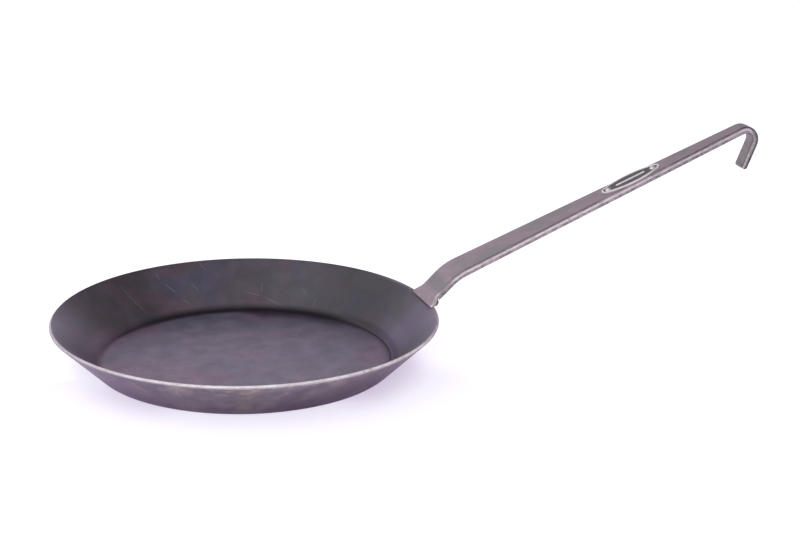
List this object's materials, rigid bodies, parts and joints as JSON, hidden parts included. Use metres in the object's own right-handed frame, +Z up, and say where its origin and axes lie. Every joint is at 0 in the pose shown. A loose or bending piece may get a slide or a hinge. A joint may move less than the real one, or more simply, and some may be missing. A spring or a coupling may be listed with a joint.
{
  "type": "skillet",
  "caption": "Pressed iron skillet with a flat floor, straight sloping wall and a long flat-bar handle that ends in a hanging hook.",
  "frame": {"origin": "centre of the pan's underside, on the surface that it stands on", "axes": "+Z up out of the bowl, +X along the handle towards the hook, +Y across the bowl"},
  "size_m": [0.5424, 0.2794, 0.1446],
  "materials": {
    "pan_iron": "blue-grey heat scale with a soft sheen, rubbed bright on the rim's edge",
    "bar_iron": "rolled grey iron, satin, bright along its long edges",
    "weld_metal": "dark rippled weld",
    "plate_metal": "dark field with a bare metal border",
    "rivet_metal": "bare domed heads"
  },
  "bodies": {
    "root": {"pan_body": "pan_iron", "handle_bar": "bar_iron", "weld_bead": "weld_metal", "name_plate": "plate_metal", "rivet_pan_side": "rivet_metal", "rivet_hook_side": "rivet_metal"}
  },
  "joints": []
}
